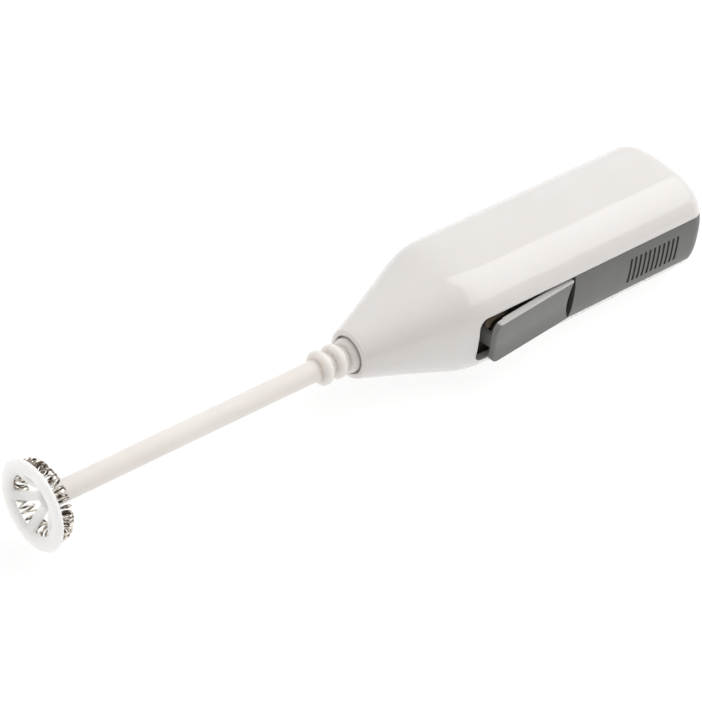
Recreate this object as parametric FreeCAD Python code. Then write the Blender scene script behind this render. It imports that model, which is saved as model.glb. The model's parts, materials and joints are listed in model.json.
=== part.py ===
import FreeCAD, Part
import math
import os

# Milk frother lying on its broad side. Millimetres.
# While it is built, X runs along the whisk's axis from the whisk to the rear end, the strip with the
# switch lever and the battery cover faces -Y, and +Z is up. settle() moves it to its own frame.

# Handle
NOSE_X = 0.0
NOSE_R = 7.05
SHOULDER_X = 30.0
SHOULDER_BLEND = 5.0
BODY_REAR_X = 113.2
BODY_HALF_Y = 17.65
BODY_HALF_Z = 15.1
BODY_POWER = 2.72
BODY_CENTRE_Y = 1.65
REST_FLAT_Z = -14.9
WALL = 2.0
REAR_RIM = 5.0
CAVITY_FRONT_X = 4.0
SECTION_POINTS = 48

# Rear cap
CAP_JOINT_X = 111.2
CAP_LIP_X = 107.5
CAP_LIP_WALL = 0.9
CAP_LIP_GAP = 0.05
CAP_SLOT_Y = -12.0

# Rim of the nose, the recess inside it and the bush
RIM_X = -1.5
RIM_OUTER_EDGE = 0.9
RIM_INNER_EDGE = 0.3
RIM_STEP = 0.02
RIM_TAPER = 0.25
RECESS_R = 5.2
RECESS_FLOOR_X = 0.3
BUSH_R = 3.5
BUSH_PROUD = (0.2, 1.5)

# Strip along the -Y edge
SLOT_HALF_Z = 7.0
SLOT_FRONT_X = 29.6
SLOT_CORNER_R = 3.0
SLOT_INNER_Y = -9.0

# Battery cover
COVER_FRONT_X = 63.3
COVER_HALF_Z = 6.85
COVER_SKIN = 1.8
COVER_WEB_Z = 5.85
COVER_WEB_FRONT_X = 66.0
COVER_INNER_Y = -10.4
RAIL_HALF_Z = 8.05
RAIL_HEIGHT = 0.9
RAIL_GAP = 0.3
GROOVE_COUNT = 11
GROOVE_FIRST_X = 84.3
GROOVE_PITCH = 1.76
GROOVE_WIDTH = 0.85
GROOVE_DEPTH = 0.5
GROOVE_HALF_Z = 4.0

# Switch lever, described in its pressed place and then turned up to its rest
LEVER_FRONT_X = 31.6
LEVER_REAR_X = 62.2
LEVER_HALF_Z = 6.2
LEVER_SKIN = 1.5
LEVER_CORNER_R = 3.0
LEVER_HOLLOW = 2.4
LEVER_PROUD = 0.8
LEVER_TRAVEL_DEG = 5.0
PIVOT_X = 59.5
PIVOT_Y = -12.3
LEVER_RIM = 0.35
LEVER_UNDER_Y = -16.0
RIB_FRONT_X = 36.0
RIB_INNER_Y = -14.2
EAR_R = 1.3
EAR_THICK = 1.0
EAR_Z = LEVER_HALF_Z - 0.1 - EAR_THICK
HOOK_X = 32.6
HOOK_THICK = 1.2
HOOK_TIP_X = 28.2
HOOK_END_Y = -9.3
HOOK_LIP = 0.9
HOOK_HALF_Z = 2.0
PLUNGER_X = 40.0
PLUNGER_R = 1.5
PLUNGER_LENGTH = 4.4

# Pins the lever turns on and the bosses that hold them
PIN_R = 0.75
PIN_LENGTH = 3.4
PIN_Z = EAR_Z - 0.1
PIN_TIGHT = 0.02
PIN_CLEARANCE = 0.05
PIN_END_GAP = 0.3
BOSS_HALF_X = 1.9
BOSS_Y = (-13.6, -11.0)
BOSS_Z = (SLOT_HALF_Z + 0.1, 10.3)

# Switch frame: bed under the lever, bulkhead before the cells, arms beside the motor
BED_Y = -11.0
BED_THICK = 1.0
BED_FRONT_X = 35.2
BED_HALF_Z = 9.2
BED_WINDOW_X = (36.0, 45.0)
BED_WINDOW_HALF_Z = 3.5
BULKHEAD_X = 55.2
BULKHEAD_THICK = 2.0
FRAME_GAP = 0.3
ARM_FRONT_X = 28.5
ARM_HALF_Y = 5.0
ARM_THICK = 1.3
PASSAGE = 0.2

# Contacts of the switch
METAL_THICK = 0.4
BLADE_Y = -13.0
BLADE_FRONT_X = 36.5
BLADE_ROOT_X = 50.0
BLADE_HALF_Z = 2.5
BLADE_CORNER_R = 1.5
RIVET_X = 38.0
RIVET_R = 1.0
RIVET_HEIGHT = 0.25
POST_REAR_X = 53.4
TAIL_X = 54.0
TAIL_Z = (3.2, 5.0)
TAIL_FRONT_X = 46.5
STRIP_HALF_Z = 3.0
PLATE_HALF_Z = 4.0
PLATE_END_Y = -1.2
RETURN_Z = (-5.0, -3.2)
RETURN_PLATE_Y = (5.0, 13.2)

# Cells and their contacts
CELL_R = 7.1
CELL_LENGTH = 50.5
CELL_RIM = 0.6
NUB_LENGTH = 1.2
NUB_R = 2.75
CELL_OUTER_Y = -5.8
CELL_INNER_Y = 9.1
PLATE_THICK = 0.5
SPRING_SPACE = 2.5
SPRING_RADII = (2.0, 2.8, 3.6)
SPRING_WIRE_R = 0.3
SPRING_FOOT = 0.4
SPRING_PITCH = 0.85
LINK_PLATE_Y = (-9.8, 13.2)
LINK_PLATE_HALF_Z = 4.5
TRAY_INNER_R = 7.5
TRAY_WALL = 1.2
TRAY_END_GAP = 1.0
TRAY_OPEN_Y = COVER_INNER_Y + 0.8
TRAY_RIBS = (66.0, 85.0, 104.0)
RIB_THICK = 1.5

# Motor
CAN_FRONT_X = 20.0
CAN_REAR_X = 42.0
BELL_REAR_X = 45.0
CAN_R = 10.0
CAN_HALF_Y = 7.5
CAN_WALL = 0.8
BELL_WALL = 1.5
BUSH_SEAT_R = 2.2
FRONT_BOSS_R = 3.05
FRONT_BOSS_LENGTH = 1.6
REAR_BOSS_R = 3.4
REAR_BOSS_LENGTH = 1.4
SHAFT_R = 1.0
SHAFT_FRONT_X = -7.5
SHAFT_REAR_X = 46.0
SHAFT_CHAMFER = 0.3
SHAFT_CLEARANCE = 0.05
MAGNET_X = (23.0, 39.0)
MAGNET_GAP = 0.4
MAGNET_EDGE_Z = 3.5
ARMATURE_X = (25.0, 37.0)
ARMATURE_R = 6.1
POLE_ANGLES = (60, 180, 300)
POLE_GAP_START = 2.6
POLE_GAP_HALF = 0.5
POLE_ROOM_END = 4.9
POLE_ROOM_HALF = 1.9
HEAD_LENGTH = 2.2
HEAD_R = 5.0
HEAD_BORE_R = 1.6
HEAD_RIM = 0.8
COMMUTATOR_X = (39.2, 43.6)
COMMUTATOR_R = 2.0
BRUSH_X = (40.0, 43.5)
BRUSH_HALF_Y = 1.0
BRUSH_Z = (2.1, 2.5)
TERMINAL_Z = (3.2, 5.0)
TERMINAL_Y = (0.0, 0.5)
TERMINAL_REAR_X = 48.5

# Whisk
STEM_R = 2.8
STEM_ROOT_X = -0.1
BEAD_R = 4.65
BEAD_HALF = 1.35
BEAD_ROUNDING = 0.85
BEAD_XS = (-10.6, -6.1, -1.6)
NECK_R = 3.1
SOCKET_R = 1.05
SOCKET_DEPTH = 9.5
RING_X = -99.9
RING_R = 12.0
RING_HALF_WIDTH = 2.0
RING_HALF_THICK = 1.0
HUB_R = 3.0
HUB_FRONT_X = -96.4
HUB_REAR_X = -93.4
HUB_FACE = 0.8
HUB_RIM = 0.6
SPIGOT_R = 2.0
SPOKE_WIDTH = 2.2
SPOKE_THICK = 1.3
SPOKE_ROOT_DEPTH = 0.9
SPOKE_OVERLAP = 0.8
SPOKE_TIP_SHIFT = 0.2
SPOKE_BOW = 0.45
SPOKE_ANGLES = (55.0, 127.0, 199.0, 271.0, 343.0)
COIL_X = -96.8
COIL_RING_R = 8.75
COIL_R = 1.85
WIRE_R = 0.25
COIL_TURNS = 54

FAR = 60.0
X_AXIS = FreeCAD.Vector(1, 0, 0)
Y_AXIS = FreeCAD.Vector(0, 1, 0)
Z_AXIS = FreeCAD.Vector(0, 0, 1)
PIVOT = FreeCAD.Vector(PIVOT_X, PIVOT_Y, 0)


def block(x, y, z):
    """Box between two limits on each axis."""
    corner = FreeCAD.Vector(x[0], y[0], z[0])
    return Part.makeBox(x[1] - x[0], y[1] - y[0], z[1] - z[0], corner)


def rod(x, radius, y=0.0, z=0.0):
    """Cylinder along X between two limits."""
    return Part.makeCylinder(radius, x[1] - x[0], FreeCAD.Vector(x[0], y, z), X_AXIS)


def tube(x, outer_r, inner_r, y=0.0, z=0.0):
    return rod(x, outer_r, y, z).cut(rod((x[0] - 1, x[1] + 1), inner_r, y, z))


def mirrored(shape):
    """The shape's mirror image across the strip's middle plane."""
    return shape.mirror(FreeCAD.Vector(0, 0, 0), Z_AXIS)


def both_sides(shape):
    return shape.fuse(mirrored(shape))


def pair(shape):
    """The shape and its mirror image as two separate solids."""
    return Part.makeCompound([shape, mirrored(shape)])


def flat_rims(shape):
    """Edges that lie in planes across X."""
    return [edge for edge in shape.Edges if edge.BoundBox.XLength < 0.01]


# Handle ---------------------------------------------------------------------------------------------

def taper(x):
    """0 behind the nose rim, 1 along the handle, with a rounded shoulder between."""
    length = SHOULDER_X - NOSE_X
    if x < SHOULDER_X - SHOULDER_BLEND:
        return (x - NOSE_X) / length
    if x < SHOULDER_X + SHOULDER_BLEND:
        return 1.0 - (SHOULDER_X + SHOULDER_BLEND - x) ** 2 / (4 * SHOULDER_BLEND * length)
    return 1.0


def section(x, inset):
    """Closed outline of the handle at x: round at the nose, a rounded box along the handle."""
    share = taper(x)
    half_y = NOSE_R + share * (BODY_HALF_Y - NOSE_R) - inset
    half_z = NOSE_R + share * (BODY_HALF_Z - NOSE_R) - inset
    power = 2.0 + share * (BODY_POWER - 2.0)
    points = []
    for step in range(SECTION_POINTS):
        angle = 2 * math.pi * step / SECTION_POINTS
        across = abs(math.cos(angle) / half_y) ** power + abs(math.sin(angle) / half_z) ** power
        reach = across ** (-1 / power)
        y = share * BODY_CENTRE_Y + reach * math.cos(angle)
        points.append(FreeCAD.Vector(x, y, reach * math.sin(angle)))
    curve = Part.BSplineCurve()
    curve.interpolate(Points=points, PeriodicFlag=True, Parameters=list(range(SECTION_POINTS + 1)))
    return Part.Wire([curve.toShape()])


def handle_solid(inset, front_x, rear_x, rim=0.0):
    """Handle's shape drawn in by inset, between two flat ends, the rear one rounded by rim."""
    full_x = SHOULDER_X + SHOULDER_BLEND + 2.0
    start_x = max(front_x, full_x)
    prism = Part.Face(section(start_x, inset)).extrude(X_AXIS * (rear_x - start_x))
    if rim:
        ends = [edge for edge in prism.Edges if abs(edge.BoundBox.XMin - rear_x) < 0.01]
        prism = prism.makeFillet(rim, ends)
    if front_x >= full_x:
        return prism
    steps = 13
    places = [front_x + (full_x - front_x) * step / steps for step in range(steps + 1)]
    nose = Part.makeLoft([section(x, inset) for x in places], True)
    return nose.fuse(prism).removeSplitter()


def resting_side_cut():
    return block((-FAR * 2, FAR * 3), (-FAR, FAR), (-FAR, REST_FLAT_Z))


def slot_cutter():
    """Space of the strip, open at the rear, with rounded corners at the front."""
    cutter = block((SLOT_FRONT_X, FAR * 2), (-FAR, SLOT_INNER_Y), (-SLOT_HALF_Z, SLOT_HALF_Z))
    corners = [edge for edge in cutter.Edges
               if edge.BoundBox.XMax - SLOT_FRONT_X < 0.01 and edge.BoundBox.YLength > 1]
    return cutter.makeFillet(SLOT_CORNER_R, corners)


def pin_boss():
    """Lug inside the handle's wall that holds one stub pin."""
    return both_sides(block((PIVOT_X - BOSS_HALF_X, PIVOT_X + BOSS_HALF_X), BOSS_Y, BOSS_Z))


def pin_bore(radius):
    reach = PIN_Z + PIN_LENGTH + PIN_END_GAP
    return Part.makeCylinder(radius, 2 * reach, PIVOT - Z_AXIS * reach, Z_AXIS)


def housing_shell(outer):
    shell = outer.cut(block((CAP_JOINT_X, FAR * 3), (-FAR, FAR), (-FAR, FAR)))
    shell = shell.cut(handle_solid(WALL, CAVITY_FRONT_X, BODY_REAR_X + 1))
    shell = shell.fuse(pin_boss().common(outer))
    shell = shell.cut(slot_cutter())
    shell = shell.cut(pin_bore(PIN_R + PIN_TIGHT))
    shell = shell.cut(rod((NOSE_X, CAVITY_FRONT_X + 1), BUSH_R + PIN_TIGHT))
    shell = shell.cut(rod((NOSE_X - 1, RECESS_FLOOR_X), RECESS_R))
    return shell.fuse(nose_rim())


def quarter(centre, start_deg, radius):
    """Start, middle and end of a quarter circle in the X-Y plane, for a turned outline."""
    spots = []
    for step in range(3):
        angle = math.radians(start_deg + 45 * step)
        place = FreeCAD.Vector(centre[0] + radius * math.cos(angle), centre[1] + radius * math.sin(angle), 0)
        spots.append(place)
    return spots


def nose_rim():
    """Rounded rim round the recess at the nose, turned about the whisk's axis."""
    outer_centre = (RIM_X + RIM_OUTER_EDGE, NOSE_R - RIM_TAPER - RIM_OUTER_EDGE)
    inner_centre = (RIM_X + RIM_INNER_EDGE, RECESS_R + RIM_INNER_EDGE)
    outer = quarter(outer_centre, 90, RIM_OUTER_EDGE)
    inner = quarter(inner_centre, 180, RIM_INNER_EDGE)
    base_outer = FreeCAD.Vector(NOSE_X, NOSE_R - RIM_STEP, 0)
    base_inner = FreeCAD.Vector(NOSE_X, RECESS_R, 0)
    outline = [
        Part.LineSegment(base_outer, outer[0]),
        Part.Arc(*outer),
        Part.LineSegment(outer[2], inner[0]),
        Part.Arc(*inner),
        Part.LineSegment(inner[2], base_inner),
        Part.LineSegment(base_inner, base_outer),
    ]
    face = Part.Face(Part.Wire([edge.toShape() for edge in outline]))
    return face.revolve(FreeCAD.Vector(0, 0, 0), X_AXIS, 360)


def cover_notch(gap):
    """Space the battery cover and its rails pass through at the rear, grown by gap."""
    middle = block((COVER_FRONT_X, FAR * 2), (-FAR, COVER_INNER_Y + gap),
                   (-COVER_HALF_Z - gap, COVER_HALF_Z + gap))
    rails = block((COVER_FRONT_X, FAR * 2),
                  (COVER_INNER_Y - RAIL_HEIGHT - gap, COVER_INNER_Y + gap),
                  (-RAIL_HALF_Z - gap, RAIL_HALF_Z + gap))
    return middle.fuse(rails)


def rear_cap(outer):
    skin = outer.common(block((CAP_JOINT_X, FAR * 3), (-FAR, FAR), (-FAR, FAR)))
    lip_inset = WALL + CAP_LIP_GAP
    lip = handle_solid(lip_inset, CAP_LIP_X, CAP_JOINT_X)
    lip = lip.cut(handle_solid(lip_inset + CAP_LIP_WALL, CAP_LIP_X - 1, CAP_JOINT_X + 1))
    cap = skin.fuse(lip.cut(slot_cutter())).cut(cover_notch(RAIL_GAP))
    return cap.cut(block((0, FAR * 2), (-FAR, CAP_SLOT_Y), (-SLOT_HALF_Z, SLOT_HALF_Z)))


def nose_bush():
    ends = (RECESS_FLOOR_X - BUSH_PROUD[0], CAVITY_FRONT_X + BUSH_PROUD[1])
    return tube(ends, BUSH_R, SHAFT_R + SHAFT_CLEARANCE)


# Battery cover --------------------------------------------------------------------------------------

def cover_grooves(outer):
    skin = outer.cut(handle_solid(GROOVE_DEPTH, COVER_FRONT_X, BODY_REAR_X))
    grooves = None
    for number in range(GROOVE_COUNT):
        middle = GROOVE_FIRST_X + number * GROOVE_PITCH
        cutter = block((middle - GROOVE_WIDTH / 2, middle + GROOVE_WIDTH / 2),
                       (-FAR, COVER_INNER_Y), (-GROOVE_HALF_Z, GROOVE_HALF_Z))
        grooves = cutter if grooves is None else grooves.fuse(cutter)
    return skin.common(grooves)


def battery_cover(outer):
    strip = block((COVER_FRONT_X, FAR * 2), (-FAR, COVER_INNER_Y), (-COVER_HALF_Z, COVER_HALF_Z))
    inner_x = BODY_REAR_X - COVER_SKIN
    hollow = handle_solid(COVER_SKIN, COVER_FRONT_X - 1, inner_x, REAR_RIM - COVER_SKIN)
    cover = outer.common(strip).cut(hollow)
    web = block((COVER_WEB_FRONT_X, inner_x + 0.5), (-FAR, COVER_INNER_Y), (COVER_WEB_Z, COVER_HALF_Z))
    rail = block((COVER_WEB_FRONT_X, BODY_REAR_X), (COVER_INNER_Y - RAIL_HEIGHT, COVER_INNER_Y),
                 (COVER_WEB_Z, RAIL_HALF_Z))
    cover = cover.fuse(both_sides(web).common(outer)).fuse(both_sides(rail).common(outer))
    return cover.cut(cover_grooves(outer)).removeSplitter()


# Switch ---------------------------------------------------------------------------------------------

def lever_outline():
    """Lever seen from the strip's side: rounded front corners and a hollow rear edge."""
    front, rear, half, corner = LEVER_FRONT_X, LEVER_REAR_X, LEVER_HALF_Z, LEVER_CORNER_R
    bend = corner * (1 - math.sqrt(0.5))

    def spot(x, z):
        return FreeCAD.Vector(x, -FAR, z)

    edges = [
        Part.Arc(spot(front, half - corner), spot(front + bend, half - bend), spot(front + corner, half)),
        Part.LineSegment(spot(front + corner, half), spot(rear, half)),
        Part.Arc(spot(rear, half), spot(rear - LEVER_HOLLOW, 0), spot(rear, -half)),
        Part.LineSegment(spot(rear, -half), spot(front + corner, -half)),
        Part.Arc(spot(front + corner, -half), spot(front + bend, bend - half), spot(front, corner - half)),
        Part.LineSegment(spot(front, corner - half), spot(front, half - corner)),
    ]
    return Part.Wire([edge.toShape() for edge in edges])


def lever_skin(outer):
    plan = Part.Face(lever_outline()).extrude(Y_AXIS * FAR)
    under = handle_solid(LEVER_SKIN, SLOT_FRONT_X - 2, LEVER_REAR_X + 2)
    skin = outer.common(plan).cut(under)
    skin.translate(-Y_AXIS * LEVER_PROUD)
    return skin


def lever_fittings():
    """Two ears round the pins, the plunger over the blade and the hook that stops the lever."""
    ear_ends = (PIVOT_X - EAR_R, PIVOT_X + EAR_R)
    ear_z = (EAR_Z, EAR_Z + EAR_THICK)
    ear = block(ear_ends, (LEVER_UNDER_Y, PIVOT_Y), ear_z)
    ear = ear.fuse(Part.makeCylinder(EAR_R, EAR_THICK, PIVOT + Z_AXIS * EAR_Z, Z_AXIS))
    rib = block((RIB_FRONT_X, ear_ends[1]), (LEVER_UNDER_Y, RIB_INNER_Y), ear_z)
    plunger_top = FreeCAD.Vector(PLUNGER_X, LEVER_UNDER_Y, 0)
    plunger = Part.makeCylinder(PLUNGER_R, PLUNGER_LENGTH, plunger_top, Y_AXIS)
    hook_z = (-HOOK_HALF_Z, HOOK_HALF_Z)
    leg = block((HOOK_X, HOOK_X + HOOK_THICK), (LEVER_UNDER_Y, HOOK_END_Y), hook_z)
    lip = block((HOOK_TIP_X, HOOK_X + HOOK_THICK), (HOOK_END_Y - HOOK_LIP, HOOK_END_Y), hook_z)
    return both_sides(ear.fuse(rib)).fuse(plunger).fuse(leg).fuse(lip)


def switch_lever(outer):
    lever = lever_skin(outer)
    soft = [edge for edge in lever.Edges if on_outer_rim(edge)]
    lever = lever.makeFillet(LEVER_RIM, soft)
    lever = lever.fuse(lever_fittings())
    lever = lever.cut(pin_bore(PIN_R + PIN_CLEARANCE))
    lever.rotate(PIVOT, Z_AXIS, LEVER_TRAVEL_DEG)
    return lever.removeSplitter()


def on_outer_rim(edge):
    """True for the edges round the lever's outer face, which lie above its mid-thickness."""
    middle = edge.valueAt((edge.FirstParameter + edge.LastParameter) / 2)
    share = abs(middle.z) / BODY_HALF_Z
    surface = BODY_CENTRE_Y - BODY_HALF_Y * (1 - share ** BODY_POWER) ** (1 / BODY_POWER)
    along = edge.BoundBox.XLength > 0.2 or edge.BoundBox.ZLength > 0.2
    return along and middle.y < surface - LEVER_PROUD + LEVER_SKIN * 0.4


def lever_pins():
    return pair(Part.makeCylinder(PIN_R, PIN_LENGTH, PIVOT + Z_AXIS * PIN_Z, Z_AXIS))


def passage(y, z):
    """Opening through the bulkhead for a strip of metal, a little larger all round."""
    return block((0, FAR * 2), (y[0] - PASSAGE, y[1] + PASSAGE), (z[0] - PASSAGE, z[1] + PASSAGE))


def switch_bulkhead():
    wall = handle_solid(WALL + FRAME_GAP, BULKHEAD_X, BULKHEAD_X + BULKHEAD_THICK)
    wall = wall.cut(block((0, FAR * 2), (-FAR, BED_Y), (-FAR, FAR)))
    strip_y = BED_Y + BED_THICK
    wall = wall.cut(passage((strip_y, strip_y + METAL_THICK), (-STRIP_HALF_Z, STRIP_HALF_Z)))
    return wall.cut(passage((-METAL_THICK, 0), RETURN_Z))


def switch_bed():
    window_z = (-BED_WINDOW_HALF_Z, BED_WINDOW_HALF_Z)
    bed = block((BED_FRONT_X, BULKHEAD_X), (BED_Y, BED_Y + BED_THICK), (-BED_HALF_Z, BED_HALF_Z))
    bed = bed.cut(block(BED_WINDOW_X, (-FAR, 0), window_z))
    tail_x = (TAIL_X - METAL_THICK - PASSAGE, TAIL_X + PASSAGE)
    return bed.cut(block(tail_x, (-FAR, 0), (TAIL_Z[0] - PASSAGE, TAIL_Z[1] + PASSAGE)))


def switch_frame():
    """Bed under the lever, bulkhead before the cells and two arms that hold the motor."""
    post = block((BLADE_ROOT_X + PASSAGE, POST_REAR_X), (BLADE_Y + METAL_THICK, BED_Y),
                 (-BLADE_HALF_Z, BLADE_HALF_Z))
    arm_z = (CAN_R + PASSAGE, CAN_R + PASSAGE + ARM_THICK)
    arms = both_sides(block((ARM_FRONT_X, BULKHEAD_X), (-ARM_HALF_Y, ARM_HALF_Y), arm_z))
    return switch_bed().fuse(post).fuse(switch_bulkhead()).fuse(arms).removeSplitter()


def contact_blade():
    blade = block((BLADE_FRONT_X, BLADE_ROOT_X), (BLADE_Y, BLADE_Y + METAL_THICK),
                  (-BLADE_HALF_Z, BLADE_HALF_Z))
    tips = [edge for edge in blade.Edges
            if edge.BoundBox.XMax - BLADE_FRONT_X < 0.01 and edge.BoundBox.YLength > 0.1]
    return blade.makeFillet(BLADE_CORNER_R, tips)


def blade_terminal():
    """Foot of the blade on the post, and its tail through the bed to the motor."""
    foot = block((BLADE_ROOT_X + PASSAGE, TAIL_X), (BLADE_Y, BLADE_Y + METAL_THICK),
                 (-BLADE_HALF_Z, TAIL_Z[1]))
    drop = block((TAIL_X - METAL_THICK, TAIL_X), (BLADE_Y, 0), TAIL_Z)
    run = block((TAIL_FRONT_X, TAIL_X), (-METAL_THICK, 0), TAIL_Z)
    return foot.fuse(drop).fuse(run).removeSplitter()


def plate_x():
    """Front and rear of the contact plates on the bulkhead."""
    face_x = BULKHEAD_X + BULKHEAD_THICK
    return (face_x, face_x + PLATE_THICK)


def positive_contact():
    """Strip behind the bed's window, bent up behind the bulkhead to meet the outer cell."""
    strip_y = BED_Y + BED_THICK
    strip = block((BLADE_FRONT_X, plate_x()[1]), (strip_y, strip_y + METAL_THICK),
                  (-STRIP_HALF_Z, STRIP_HALF_Z))
    plate = block(plate_x(), (strip_y, PLATE_END_Y), (-PLATE_HALF_Z, PLATE_HALF_Z))
    return strip.fuse(plate).removeSplitter()


def fixed_contact_rivet():
    place = FreeCAD.Vector(RIVET_X, BED_Y + BED_THICK - RIVET_HEIGHT, 0)
    return Part.makeCylinder(RIVET_R, RIVET_HEIGHT, place, Y_AXIS)


def negative_contact():
    """Plate behind the inner cell's spring, and its tail through the bulkhead to the motor."""
    plate = block(plate_x(), RETURN_PLATE_Y, (RETURN_Z[0], PLATE_HALF_Z))
    neck = block(plate_x(), (-METAL_THICK, RETURN_PLATE_Y[0]), RETURN_Z)
    run = block((TAIL_FRONT_X, plate_x()[1]), (-METAL_THICK, 0), RETURN_Z)
    return plate.fuse(neck).fuse(run).removeSplitter()


# Cells ----------------------------------------------------------------------------------------------

def battery_cell(front_x, y, nub_forward):
    """AA cell, its positive nub at the front or at the rear."""
    rear_x = front_x + CELL_LENGTH
    body = (front_x + NUB_LENGTH, rear_x) if nub_forward else (front_x, rear_x - NUB_LENGTH)
    can = rod(body, CELL_R, y)
    can = can.makeFillet(CELL_RIM, flat_rims(can))
    return can.fuse(rod((front_x, rear_x), NUB_R, y)).removeSplitter()


def cell_spring(x, y, direction):
    """Tapered contact spring, one closed turn for each turn of its wire."""
    turns = []
    for number, radius in enumerate(SPRING_RADII):
        place = FreeCAD.Vector(x + direction * (SPRING_FOOT + number * SPRING_PITCH), y, 0)
        turns.append(Part.makeTorus(radius, SPRING_WIRE_R, place, X_AXIS))
    return turns


def rear_plate_x():
    return plate_x()[1] + CELL_LENGTH + SPRING_SPACE


def cell_springs():
    front = cell_spring(plate_x()[1], CELL_INNER_Y, 1)
    rear = cell_spring(rear_plate_x(), CELL_OUTER_Y, -1)
    return Part.makeCompound(front + rear)


def rear_link_plate():
    ends = (rear_plate_x(), rear_plate_x() + PLATE_THICK)
    return block(ends, LINK_PLATE_Y, (-LINK_PLATE_HALF_Z, LINK_PLATE_HALF_Z))


def trough(radius, ends):
    """Solid with a flat outer side and a round inner side, round both cells."""
    round_end = rod(ends, radius, CELL_INNER_Y)
    return round_end.fuse(block(ends, (TRAY_OPEN_Y, CELL_INNER_Y), (-radius, radius)))


def battery_tray():
    """Trough round the two cells, open towards the cover, with ribs out to the handle's wall."""
    front_x = plate_x()[1] + TRAY_END_GAP
    rear_x = CAP_LIP_X - TRAY_END_GAP
    open_side = block((0, FAR * 2), (-FAR, TRAY_OPEN_Y), (-FAR, FAR))
    room = handle_solid(WALL + FRAME_GAP, front_x - 1, rear_x + 1)
    tray = trough(TRAY_INNER_R + TRAY_WALL, (front_x, rear_x)).common(room)
    for rib_x in TRAY_RIBS:
        tray = tray.fuse(handle_solid(WALL + FRAME_GAP, rib_x, rib_x + RIB_THICK))
    return tray.cut(trough(TRAY_INNER_R, (front_x - 1, rear_x + 1))).cut(open_side)


# Motor ----------------------------------------------------------------------------------------------

def motor_section(x, radius, half_y):
    return rod(x, radius).common(block(x, (-half_y, half_y), (-FAR, FAR)))


def motor_can():
    can = motor_section((CAN_FRONT_X, CAN_REAR_X), CAN_R, CAN_HALF_Y)
    can = can.cut(motor_section((CAN_FRONT_X + CAN_WALL, CAN_REAR_X + 1), CAN_R - CAN_WALL,
                                CAN_HALF_Y - CAN_WALL))
    boss = rod((CAN_FRONT_X - FRONT_BOSS_LENGTH, CAN_FRONT_X), FRONT_BOSS_R)
    return can.fuse(boss).cut(rod((CAN_FRONT_X - FRONT_BOSS_LENGTH - 1, CAN_FRONT_X + 1), BUSH_SEAT_R))


def motor_end_bell():
    """Cap of the can, with a seat for the rear bush and slots for the two terminals."""
    bell = motor_section((CAN_REAR_X, BELL_REAR_X), CAN_R, CAN_HALF_Y)
    bell = bell.cut(motor_section((CAN_REAR_X - 1, BELL_REAR_X - 1), CAN_R - BELL_WALL,
                                  CAN_HALF_Y - BELL_WALL))
    bell = bell.fuse(rod((BELL_REAR_X - 1, BELL_REAR_X + REAR_BOSS_LENGTH), REAR_BOSS_R))
    bell = bell.cut(rod((BELL_REAR_X - 2, BELL_REAR_X + 1), BUSH_SEAT_R))
    return bell.cut(both_sides(block((BELL_REAR_X - 2, BELL_REAR_X + 2), TERMINAL_Y, TERMINAL_Z)))


def motor_magnets():
    ring = tube(MAGNET_X, CAN_R - CAN_WALL - SHAFT_CLEARANCE, ARMATURE_R + MAGNET_GAP)
    half_y = CAN_HALF_Y - CAN_WALL - FRAME_GAP
    return pair(ring.common(block((0, FAR), (-half_y, half_y), (MAGNET_EDGE_Z, FAR))))


def motor_brushes():
    return pair(block(BRUSH_X, (-BRUSH_HALF_Y, BRUSH_HALF_Y), BRUSH_Z))


def motor_terminals():
    return pair(block((BELL_REAR_X - BELL_WALL, TERMINAL_REAR_X), TERMINAL_Y, TERMINAL_Z))


def motor_bushes():
    bore = SHAFT_R + SHAFT_CLEARANCE
    front = tube((CAN_FRONT_X - FRONT_BOSS_LENGTH, CAN_FRONT_X + CAN_WALL), BUSH_SEAT_R, bore)
    rear = tube((BELL_REAR_X - 1, BELL_REAR_X + 1), BUSH_SEAT_R, bore)
    return Part.makeCompound([front, rear])


def motor_shaft():
    shaft = rod((SHAFT_FRONT_X, SHAFT_REAR_X), SHAFT_R)
    return shaft.makeChamfer(SHAFT_CHAMFER, flat_rims(shaft))


def motor_armature():
    """Three-pole core on the shaft."""
    core = tube(ARMATURE_X, ARMATURE_R, SHAFT_R)
    past = (ARMATURE_X[0] - 1, ARMATURE_X[1] + 1)
    for turn in POLE_ANGLES:
        gap = block(past, (POLE_GAP_START, FAR), (-POLE_GAP_HALF, POLE_GAP_HALF))
        gap = gap.fuse(block(past, (POLE_GAP_START, POLE_ROOM_END), (-POLE_ROOM_HALF, POLE_ROOM_HALF)))
        gap.rotate(FreeCAD.Vector(0, 0, 0), X_AXIS, turn)
        core = core.cut(gap)
    return core


def winding_head(ends):
    head = tube(ends, HEAD_R, HEAD_BORE_R)
    rims = [edge for edge in flat_rims(head) if edge.BoundBox.YLength > HEAD_R]
    return head.makeFillet(HEAD_RIM, rims)


def motor_windings():
    """Coil heads at both ends of the core."""
    front = winding_head((ARMATURE_X[0] - HEAD_LENGTH, ARMATURE_X[0]))
    rear = winding_head((ARMATURE_X[1], ARMATURE_X[1] + HEAD_LENGTH - 0.2))
    return Part.makeCompound([front, rear])


def motor_commutator():
    return tube(COMMUTATOR_X, COMMUTATOR_R, SHAFT_R)


# Whisk ----------------------------------------------------------------------------------------------

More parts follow.
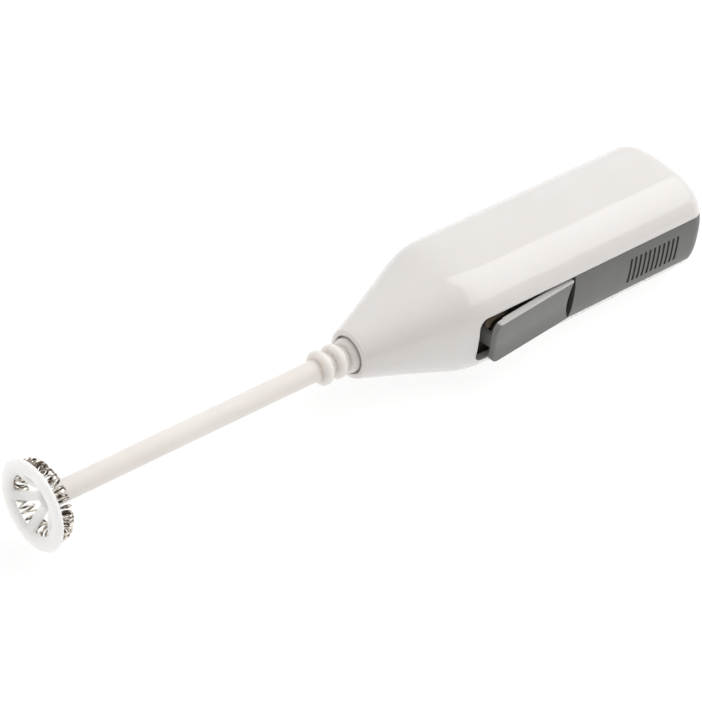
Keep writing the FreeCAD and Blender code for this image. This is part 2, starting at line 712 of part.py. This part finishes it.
def whisk_stem():
    """Stem with three beads at its root and a blind socket for the motor shaft."""
    stem = rod((HUB_REAR_X, BEAD_XS[0]), STEM_R)
    stem = stem.fuse(rod((BEAD_XS[0], STEM_ROOT_X), NECK_R))
    for x in BEAD_XS:
        bead = rod((x - BEAD_HALF, x + BEAD_HALF), BEAD_R)
        stem = stem.fuse(bead.makeFillet(BEAD_HALF * BEAD_ROUNDING, flat_rims(bead)))
    stem = stem.fuse(rod((HUB_FRONT_X + HUB_FACE, HUB_REAR_X), SPIGOT_R))
    socket = rod((STEM_ROOT_X - SOCKET_DEPTH, STEM_ROOT_X + 1), SOCKET_R)
    return stem.cut(socket).removeSplitter()


def whisk_ring():
    """Rounded ring: an ellipse turned about the whisk's axis."""
    middle_r = RING_R - RING_HALF_WIDTH
    shape = Part.Ellipse(FreeCAD.Vector(0, 0, 0), RING_HALF_WIDTH, RING_HALF_THICK).toShape()
    face = Part.Face(Part.Wire([shape]))
    face.rotate(FreeCAD.Vector(0, 0, 0), Z_AXIS, 90)
    face.translate(FreeCAD.Vector(RING_X, middle_r, 0))
    return face.revolve(FreeCAD.Vector(0, 0, 0), X_AXIS, 360)


def spoke():
    """Dished bar from the hub forward and out to the ring."""
    root = (HUB_FRONT_X + SPOKE_ROOT_DEPTH, HUB_R - SPOKE_OVERLAP)
    tip = (RING_X - SPOKE_TIP_SHIFT, RING_R - 2 * RING_HALF_WIDTH + SPOKE_OVERLAP)
    middle = ((root[0] + tip[0]) / 2 - SPOKE_BOW, (root[1] + tip[1]) / 2)
    front = [FreeCAD.Vector(x - SPOKE_THICK / 2, radius, 0) for x, radius in (root, middle, tip)]
    back = [FreeCAD.Vector(x + SPOKE_THICK / 2, radius, 0) for x, radius in (root, middle, tip)]
    outline = [
        Part.Arc(*front),
        Part.LineSegment(front[2], back[2]),
        Part.Arc(back[2], back[1], back[0]),
        Part.LineSegment(back[0], front[0]),
    ]
    face = Part.Face(Part.Wire([edge.toShape() for edge in outline]))
    face.translate(-Z_AXIS * (SPOKE_WIDTH / 2))
    return face.extrude(Z_AXIS * SPOKE_WIDTH)


def whisk_disc():
    hub = rod((HUB_FRONT_X, HUB_REAR_X), HUB_R)
    disc = whisk_ring().fuse(hub.makeFillet(HUB_RIM, flat_rims(hub)))
    for angle in SPOKE_ANGLES:
        bar = spoke()
        bar.rotate(FreeCAD.Vector(0, 0, 0), X_AXIS, angle)
        disc = disc.fuse(bar)
    return disc.cut(rod((HUB_FRONT_X + HUB_FACE, HUB_REAR_X + 1), SPIGOT_R)).removeSplitter()


def whisk_coil():
    """Coil spring closed into a ring, one closed turn of wire for each turn of the coil."""
    turns = []
    for number in range(COIL_TURNS):
        turn = Part.makeTorus(COIL_R, WIRE_R, FreeCAD.Vector(COIL_X, COIL_RING_R, 0), Z_AXIS)
        turn.rotate(FreeCAD.Vector(0, 0, 0), X_AXIS, 360.0 * number / COIL_TURNS)
        turns.append(turn)
    return Part.makeCompound(turns)


# Whole frother --------------------------------------------------------------------------------------

def make_nodes():
    plain = handle_solid(0.0, NOSE_X, BODY_REAR_X, REAR_RIM)
    outer = plain.cut(resting_side_cut())
    first_x = plate_x()[1]
    return {
        "housing_shell": housing_shell(outer),
        "rear_cap": rear_cap(outer),
        "nose_bush": nose_bush(),
        "battery_cover": battery_cover(outer),
        "switch_lever": switch_lever(plain),
        "lever_pins": lever_pins(),
        "switch_frame": switch_frame(),
        "contact_blade": contact_blade(),
        "blade_terminal": blade_terminal(),
        "positive_contact": positive_contact(),
        "fixed_contact_rivet": fixed_contact_rivet(),
        "negative_contact": negative_contact(),
        "battery_cell_outer": battery_cell(first_x, CELL_OUTER_Y, True),
        "battery_cell_inner": battery_cell(first_x + SPRING_SPACE, CELL_INNER_Y, False),
        "cell_springs": cell_springs(),
        "rear_link_plate": rear_link_plate(),
        "battery_tray": battery_tray(),
        "motor_can": motor_can(),
        "motor_end_bell": motor_end_bell(),
        "motor_magnets": motor_magnets(),
        "motor_brushes": motor_brushes(),
        "motor_terminals": motor_terminals(),
        "motor_bushes": motor_bushes(),
        "motor_shaft": motor_shaft(),
        "motor_armature": motor_armature(),
        "motor_windings": motor_windings(),
        "motor_commutator": motor_commutator(),
        "whisk_stem": whisk_stem(),
        "whisk_disc": whisk_disc(),
        "whisk_coil": whisk_coil(),
    }


def settle(nodes):
    """Move the frother so that its box stands on z = 0 with its middle over the origin."""
    box = Part.makeCompound(list(nodes.values())).optimalBoundingBox(False, False)
    shift = FreeCAD.Vector(-(box.XMin + box.XMax) / 2, -(box.YMin + box.YMax) / 2, -box.ZMin)
    for shape in nodes.values():
        shape.translate(shift)
    return shift


def main():
    os.makedirs("parts", exist_ok=True)
    nodes = make_nodes()
    shift = settle(nodes)
    for name, shape in nodes.items():
        shape.exportStep(os.path.join("parts", name + ".step"))
        print(name, "valid" if shape.isValid() else "NOT VALID", len(shape.Solids), round(shape.Volume, 1))
    print("moved by", [round(value, 4) for value in shift])
    print("lever pivot", [round(value, 4) for value in PIVOT + shift])


main()
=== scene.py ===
import json
import math
import random

import bmesh
import bpy
from mathutils import Matrix, Vector


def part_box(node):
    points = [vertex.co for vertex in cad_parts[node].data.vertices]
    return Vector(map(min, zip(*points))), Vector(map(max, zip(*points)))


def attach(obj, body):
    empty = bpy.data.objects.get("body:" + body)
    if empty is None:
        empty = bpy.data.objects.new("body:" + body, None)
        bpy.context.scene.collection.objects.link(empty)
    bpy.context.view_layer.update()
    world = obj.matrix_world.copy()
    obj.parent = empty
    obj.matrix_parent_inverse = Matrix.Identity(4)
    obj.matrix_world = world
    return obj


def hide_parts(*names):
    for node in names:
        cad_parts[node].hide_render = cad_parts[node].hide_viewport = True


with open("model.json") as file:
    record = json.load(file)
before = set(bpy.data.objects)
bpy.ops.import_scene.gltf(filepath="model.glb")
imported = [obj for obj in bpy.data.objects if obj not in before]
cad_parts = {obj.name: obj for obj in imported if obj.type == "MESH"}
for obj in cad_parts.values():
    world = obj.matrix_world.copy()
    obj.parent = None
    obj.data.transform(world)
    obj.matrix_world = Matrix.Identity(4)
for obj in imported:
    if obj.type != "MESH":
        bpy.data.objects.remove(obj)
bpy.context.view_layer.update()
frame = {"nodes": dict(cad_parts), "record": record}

MM = 0.001
NODES = frame["nodes"]

# Camera: a long lens looking down on the nose and on the strip side, rolled a little
CAMERA_LOOK = (0.5505, 0.5378, -0.6386)
CAMERA_UP = (0.3595, 0.5376, 0.7627)
CAMERA_LENS = 157.7
CAMERA_SENSOR = 36.0
CAMERA_DISTANCE = 0.779
CAMERA_CLIP = (0.05, 10.0)
AIM_SIDE = (0.0, 0.765, 0.644)
AIM_OFFSET = 0.53 * MM
AIM_BEHIND_STEM = 0.1 * MM

# World: light levels by direction
BRIGHT_SIDE = (0.55, 0.3, 0.78)
DIM_AT = -0.15
BRIGHT_AT = 0.85
DIM_LEVEL = (0.31, 0.275, 0.25)
BRIGHT_LEVEL = (0.91, 0.905, 0.9)

# Floor
FLOOR_HALF = 3.0
FLOOR_COLOUR = 0.28
FLOOR_DRIFT = 0.01
FLOOR_GRAIN = 6.0
FLOOR_ROUGHNESS = 0.9
FLOOR_GLOW = 0.77

# Area lights: place, the point aimed at, size and power
SOFTBOX = ((1.04, -0.5, 1.25), (1.04, -0.5, 0.0), (1.42, 2.0), 17.2)
FILL = ((-0.9, 0.5, 0.3), (0.0, 0.0, 0.01), (0.8, 0.6), 2.1)

# Moulded plastic: scale and detail of the noise behind its colour, its gloss and its skin
TINT_NOISE = (45.0, 3.0)
GLOSS_NOISE = (220.0, 4.0)
SKIN_NOISE = (1800.0, 2.0)
GLOSS_SPREAD = (0.85, 1.2)
SKIN_STRENGTH = 0.35
SKIN_HEIGHT = 2e-6
COAT_ROUGHNESS = 0.01
SCATTER_RADIUS = (1.0, 0.95, 0.9)

# Metal
METAL_GRAIN = 400.0
METAL_DETAIL = 4.0
METAL_GLOSS_NOISE = (900.0, 3.0)
METAL_GLOSS_SPREAD = (0.7, 1.4)

# Lever: painted highlight colour of its side walls, painted shade colour towards its bottom edge, and how
# wide each change is
WALL_HIGHLIGHT_COLOUR = (0.5, 0.49, 0.475, 1.0)
LOWER_SHADE_COLOUR = (0.105, 0.105, 0.101, 1.0)
WALL_HIGHLIGHT_INNER = 0.28 * MM
WALL_HIGHLIGHT_OUTER = 0.1 * MM
LOWER_SHADE_FADE = 0.1

# Whisk coil
COIL_SEED = 11
COIL_TURNS = 49
COIL_STEPS = 24
COIL_WIRE_R = 0.3 * MM
COIL_WIRE_SIDES = 8
TURN_JITTER = 0.38
BUNCHES = 7
BUNCHING = 0.6
TURN_LEAN = 0.35
SMALLEST_TURN = 0.9

PLASTICS = {
    "white_plastic": {"low": (0.745, 0.724, 0.708), "high": (0.765, 0.746, 0.732),
                      "roughness": 0.5, "coat": 0.85, "depth": 0.6 * MM},
    "whisk_plastic": {"low": (0.765, 0.737, 0.708), "high": (0.795, 0.772, 0.745),
                      "roughness": 0.5, "depth": 3.0 * MM},
    "disc_plastic": {"low": (0.965, 0.95, 0.935), "high": (0.985, 0.97, 0.96),
                     "roughness": 0.5, "depth": 4.0 * MM},
    "lever_plastic": {"low": (0.18, 0.182, 0.178), "high": (0.2, 0.203, 0.198),
                      "roughness": 0.42, "metallic": 0.15},
    "cover_plastic": {"low": (0.138, 0.138, 0.135), "high": (0.156, 0.157, 0.153),
                      "roughness": 0.38, "metallic": 0.3},
    "dark_plastic": {"low": (0.105, 0.08, 0.065), "high": (0.135, 0.107, 0.09), "roughness": 0.6},
    "grey_plastic": {"low": (0.40, 0.39, 0.37), "high": (0.47, 0.46, 0.44), "roughness": 0.55},
    "cell_jacket": {"low": (0.02, 0.02, 0.022), "high": (0.035, 0.035, 0.04), "roughness": 0.3},
}

METALS = {
    # Spring wire: its colour swings in random patches between painted dark shade and painted bright
    # glints
    "spring_wire": {"low": (0.085, 0.06, 0.045), "high": (0.90, 0.85, 0.77),
                    "roughness": 0.14, "grain_and_painted_light_scale": 650.0, "spread": 0.1},
    "steel": {"low": (0.50, 0.50, 0.51), "high": (0.62, 0.62, 0.63), "roughness": 0.3},
    "brass": {"low": (0.27, 0.205, 0.14), "high": (0.38, 0.30, 0.21), "roughness": 0.4},
    "bronze": {"low": (0.10, 0.07, 0.05), "high": (0.16, 0.12, 0.085), "roughness": 0.5},
    "copper": {"low": (0.60, 0.30, 0.18), "high": (0.74, 0.42, 0.26), "roughness": 0.3},
    "ferrite": {"low": (0.08, 0.08, 0.085), "high": (0.13, 0.13, 0.135), "roughness": 0.55},
    "ferrite_core": {"low": (0.22, 0.22, 0.23), "high": (0.32, 0.32, 0.33), "roughness": 0.45},
}


# Places worked out from the frame ---------------------------------------------------------------------

def middle(node):
    low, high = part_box(node)
    return (low + high) / 2


AXIS = middle("whisk_disc")
NOSE_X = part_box("whisk_stem")[1].x + AIM_BEHIND_STEM


# Camera -------------------------------------------------------------------------------------------------

def make_camera():
    look = Vector(CAMERA_LOOK).normalized()
    side = look.cross(Vector(CAMERA_UP)).normalized()
    up = side.cross(look).normalized()
    target = Vector((NOSE_X, AXIS.y, AXIS.z)) + Vector(AIM_SIDE) * AIM_OFFSET
    data = bpy.data.cameras.new("camera")
    data.sensor_width = CAMERA_SENSOR
    data.lens = CAMERA_LENS
    data.clip_start, data.clip_end = CAMERA_CLIP
    camera = bpy.data.objects.new("camera", data)
    turn = Matrix((side, up, -look)).transposed().to_4x4()
    camera.matrix_world = Matrix.Translation(target - look * CAMERA_DISTANCE) @ turn
    bpy.context.scene.collection.objects.link(camera)
    bpy.context.scene.camera = camera


# Material helpers ---------------------------------------------------------------------------------------

def new_material(name, colour, roughness, metallic=0.0):
    mat = bpy.data.materials.new(name)
    mat.use_nodes = True
    shader = mat.node_tree.nodes["Principled BSDF"]
    shader.inputs["Base Color"].default_value = (*colour, 1.0)
    shader.inputs["Roughness"].default_value = roughness
    shader.inputs["Metallic"].default_value = metallic
    return mat, mat.node_tree, shader


def noise(tree, scale, detail):
    """Noise fixed to the piece itself, in metres."""
    place = tree.nodes.new("ShaderNodeTexCoord")
    texture = tree.nodes.new("ShaderNodeTexNoise")
    texture.inputs["Scale"].default_value = scale
    texture.inputs["Detail"].default_value = detail
    tree.links.new(place.outputs["Object"], texture.inputs["Vector"])
    return texture.outputs["Fac"]


def map_range(tree, source, start, end, low=0.0, high=1.0):
    """Straight change from low at start to high at end, held beyond them."""
    span = tree.nodes.new("ShaderNodeMapRange")
    for socket, value in (("From Min", start), ("From Max", end), ("To Min", low), ("To Max", high)):
        span.inputs[socket].default_value = value
    tree.links.new(source, span.inputs["Value"])
    return span.outputs["Result"]


def colour_ramp(tree, source, low, high):
    ramp = tree.nodes.new("ShaderNodeValToRGB")
    ramp.color_ramp.elements[0].color = (*low, 1.0)
    ramp.color_ramp.elements[1].color = (*high, 1.0)
    tree.links.new(source, ramp.inputs["Fac"])
    return ramp


def vary_colour(tree, shader, source, low, high, spread=0.2):
    ramp = colour_ramp(tree, source, low, high)
    ramp.color_ramp.elements[0].position = 0.5 - spread
    ramp.color_ramp.elements[1].position = 0.5 + spread
    tree.links.new(ramp.outputs["Color"], shader.inputs["Base Color"])


def vary_roughness(tree, shader, source, roughness, spread):
    low, high = spread
    tree.links.new(map_range(tree, source, 0.0, 1.0, roughness * low, roughness * high),
                   shader.inputs["Roughness"])


def add_skin(tree, shader):
    """Fine moulded skin, a few thousandths of a millimetre deep."""
    bump = tree.nodes.new("ShaderNodeBump")
    bump.inputs["Strength"].default_value = SKIN_STRENGTH
    bump.inputs["Distance"].default_value = SKIN_HEIGHT
    tree.links.new(noise(tree, *SKIN_NOISE), bump.inputs["Height"])
    tree.links.new(bump.outputs["Normal"], shader.inputs["Normal"])


def mix_colour(tree, factor):
    mix = tree.nodes.new("ShaderNodeMix")
    mix.data_type = "RGBA"
    tree.links.new(factor, mix.inputs["Factor"])
    return mix


# Light and stage ----------------------------------------------------------------------------------------

def area_light(name, place, aim, size, power):
    data = bpy.data.lights.new(name, "AREA")
    data.shape = "RECTANGLE"
    data.size, data.size_y = size
    data.energy = power
    light = bpy.data.objects.new(name, data)
    light.location = place
    light.rotation_euler = (Vector(aim) - Vector(place)).to_track_quat("-Z", "Y").to_euler()
    bpy.context.scene.collection.objects.link(light)


def make_world():
    """Soft white surroundings, bright overhead and behind, dim and warm at the whisk's side."""
    world = bpy.data.worlds.new("studio")
    bpy.context.scene.world = world
    world.use_nodes = True
    tree = world.node_tree
    place = tree.nodes.new("ShaderNodeTexCoord")
    towards = tree.nodes.new("ShaderNodeVectorMath")
    towards.operation = "DOT_PRODUCT"
    towards.inputs[1].default_value = Vector(BRIGHT_SIDE).normalized()
    tree.links.new(place.outputs["Generated"], towards.inputs[0])
    share = map_range(tree, towards.outputs["Value"], DIM_AT, BRIGHT_AT)
    ramp = colour_ramp(tree, share, DIM_LEVEL, BRIGHT_LEVEL)
    tree.links.new(ramp.outputs["Color"], tree.nodes["Background"].inputs["Color"])


def make_floor():
    mesh = bpy.data.meshes.new("floor")
    half = FLOOR_HALF
    corners = [(-half, -half, 0), (half, -half, 0), (half, half, 0), (-half, half, 0)]
    mesh.from_pydata(corners, [], [(0, 1, 2, 3)])
    floor = bpy.data.objects.new("floor", mesh)
    bpy.context.scene.collection.objects.link(floor)
    mat, tree, shader = new_material("floor_paper", (FLOOR_COLOUR,) * 3, FLOOR_ROUGHNESS)
    low, high = (FLOOR_COLOUR - FLOOR_DRIFT,) * 3, (FLOOR_COLOUR + FLOOR_DRIFT,) * 3
    vary_colour(tree, shader, noise(tree, FLOOR_GRAIN, 2.0), low, high)
    shader.inputs["Specular IOR Level"].default_value = 0.0
    shader.inputs["Emission Color"].default_value = (1.0, 1.0, 1.0, 1.0)
    shader.inputs["Emission Strength"].default_value = FLOOR_GLOW
    mesh.materials.append(mat)


# Materials ----------------------------------------------------------------------------------------------

def moulded_plastic(name, low, high, roughness, coat=0.0, depth=0.0, metallic=0.0):
    """Moulded plastic: faint colour drift, uneven gloss, a fine skin and some light passing under it."""
    mat, tree, shader = new_material(name, high, roughness, metallic)
    vary_colour(tree, shader, noise(tree, *TINT_NOISE), low, high)
    vary_roughness(tree, shader, noise(tree, *GLOSS_NOISE), roughness, GLOSS_SPREAD)
    add_skin(tree, shader)
    shader.inputs["Coat Weight"].default_value = coat
    shader.inputs["Coat Roughness"].default_value = COAT_ROUGHNESS
    if depth:
        shader.inputs["Subsurface Weight"].default_value = 1.0
        shader.inputs["Subsurface Radius"].default_value = SCATTER_RADIUS
        shader.inputs["Subsurface Scale"].default_value = depth
    return mat


def metal(name, low, high, roughness, grain_and_painted_light_scale=METAL_GRAIN, spread=0.2):
    mat, tree, shader = new_material(name, high, roughness, 1.0)
    # Colour noise: real grain on most metals; on the spring wire it is painted shade and painted glints
    vary_colour(tree, shader, noise(tree, grain_and_painted_light_scale, METAL_DETAIL), low, high, spread)
    vary_roughness(tree, shader, noise(tree, *METAL_GLOSS_NOISE), roughness, METAL_GLOSS_SPREAD)
    return mat


def height_over_axis(tree):
    place = tree.nodes.new("ShaderNodeTexCoord")
    split = tree.nodes.new("ShaderNodeSeparateXYZ")
    offset = tree.nodes.new("ShaderNodeMath")
    offset.operation = "SUBTRACT"
    offset.inputs[1].default_value = AXIS.z
    tree.links.new(place.outputs["Object"], split.inputs["Vector"])
    tree.links.new(split.outputs["Z"], offset.inputs[0])
    return offset.outputs["Value"]


def paint_lever_highlight_and_shade(mat):
    """Painted highlight and painted shade: the lever's side walls are painted paler than its face, and
    the face is painted darker towards its bottom edge.
    """
    tree = mat.node_tree
    shader = tree.nodes["Principled BSDF"]
    face = shader.inputs["Base Color"].links[0].from_socket
    half = (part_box("switch_lever")[1].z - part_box("switch_lever")[0].z) / 2
    height = height_over_axis(tree)
    # Painted shade: the face colour is mixed towards a dark colour near its bottom edge
    painted_shade_mix = mix_colour(tree, map_range(tree, height, -half, LOWER_SHADE_FADE * half))
    painted_shade_mix.inputs["A"].default_value = LOWER_SHADE_COLOUR
    tree.links.new(face, painted_shade_mix.inputs["B"])
    away = tree.nodes.new("ShaderNodeMath")
    away.operation = "ABSOLUTE"
    tree.links.new(height, away.inputs[0])
    # Painted highlight: a pale colour painted in a thin band along both long side walls
    painted_highlight_mix = mix_colour(tree, map_range(tree, away.outputs["Value"], half - WALL_HIGHLIGHT_INNER, half - WALL_HIGHLIGHT_OUTER))
    painted_highlight_mix.inputs["B"].default_value = WALL_HIGHLIGHT_COLOUR
    tree.links.new(painted_shade_mix.outputs["Result"], painted_highlight_mix.inputs["A"])
    tree.links.new(painted_highlight_mix.outputs["Result"], shader.inputs["Base Color"])


def make_materials():
    made = {name: moulded_plastic(name, **look) for name, look in PLASTICS.items()}
    made.update({name: metal(name, **look) for name, look in METALS.items()})
    # Paints highlight and shade into the lever's colour
    paint_lever_highlight_and_shade(made["lever_plastic"])
    return made


def dress_nodes(materials):
    slots = {part["node"]: part["material_slot"] for part in frame["record"]["subparts"]}
    for name, node in NODES.items():
        node.data.materials.clear()
        node.data.materials.append(materials[slots[name]])


# Whisk coil ---------------------------------------------------------------------------------------------

def looped_tube(name, path, radius, sides):
    """Round tube along a closed loop of points round the whisk's axis."""
    work = bmesh.new()
    rings = []
    count = len(path)
    for i, point in enumerate(path):
        along = (path[(i + 1) % count] - path[i - 1]).normalized()
        out = point - Vector((point.x, AXIS.y, AXIS.z))
        normal = (out - along * out.dot(along)).normalized()
        other = along.cross(normal)
        rings.append([])
        for k in range(sides):
            turn = 2 * math.pi * k / sides
            spot = point + normal * math.cos(turn) * radius + other * math.sin(turn) * radius
            rings[-1].append(work.verts.new(spot))
    for i, here in enumerate(rings):
        there = rings[(i + 1) % count]
        for k in range(sides):
            work.faces.new((here[k], there[k], there[(k + 1) % sides], here[(k + 1) % sides]))
    mesh = bpy.data.meshes.new(name)
    bmesh.ops.recalc_face_normals(work, faces=work.faces)
    work.to_mesh(mesh)
    work.free()
    for face in mesh.polygons:
        face.use_smooth = True
    piece = bpy.data.objects.new(name, mesh)
    bpy.context.scene.collection.objects.link(piece)
    return piece


def between(values, turn, share):
    return values[turn] * (1 - share) + values[turn + 1] * share


def coil_path():
    """Middle line of the coil: turns round a ring, unevenly spaced, sized and leaning."""
    low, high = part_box("whisk_coil")
    middle_x = (low.x + high.x) / 2
    coil_r = (high.x - low.x) / 2 - COIL_WIRE_R
    ring_r = (high.y - low.y) / 2 - COIL_WIRE_R - coil_r
    turns = range(COIL_TURNS)
    chance = random.Random(COIL_SEED)
    places = [turn + TURN_JITTER * chance.uniform(-1, 1)
              + BUNCHING * math.sin(turn * 2 * math.pi * BUNCHES / COIL_TURNS) for turn in turns]
    leans = [chance.uniform(-TURN_LEAN, TURN_LEAN) for turn in turns]
    sizes = [coil_r * chance.uniform(SMALLEST_TURN, 1.0) for turn in turns]
    places.append(places[0] + COIL_TURNS)
    leans.append(leans[0])
    sizes.append(sizes[0])
    path = []
    for turn in turns:
        for step in range(COIL_STEPS):
            share = step / COIL_STEPS
            size = between(sizes, turn, share)
            round_wire = 2 * math.pi * share
            place = between(places, turn, share) + between(leans, turn, share) * math.sin(round_wire)
            round_ring = 2 * math.pi * place / COIL_TURNS
            radius = ring_r + coil_r - size + size * math.cos(round_wire)
            path.append(Vector((middle_x + size * math.sin(round_wire),
                                AXIS.y + radius * math.cos(round_ring),
                                AXIS.z + radius * math.sin(round_ring))))
    return path


def make_coil(materials):
    """Garter spring behind the whisk disc: one wire whose turns are bunched and leaning a little."""
    coil = looped_tube("whisk_coil_wire", coil_path(), COIL_WIRE_R, COIL_WIRE_SIDES)
    coil.data.materials.append(materials["spring_wire"])
    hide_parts("whisk_coil")
    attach(coil, "whisk")


materials = make_materials()
make_camera()
bpy.context.scene.view_settings.view_transform = "Standard"
make_world()
make_floor()
area_light("softbox", *SOFTBOX)
area_light("fill", *FILL)
dress_nodes(materials)
make_coil(materials)
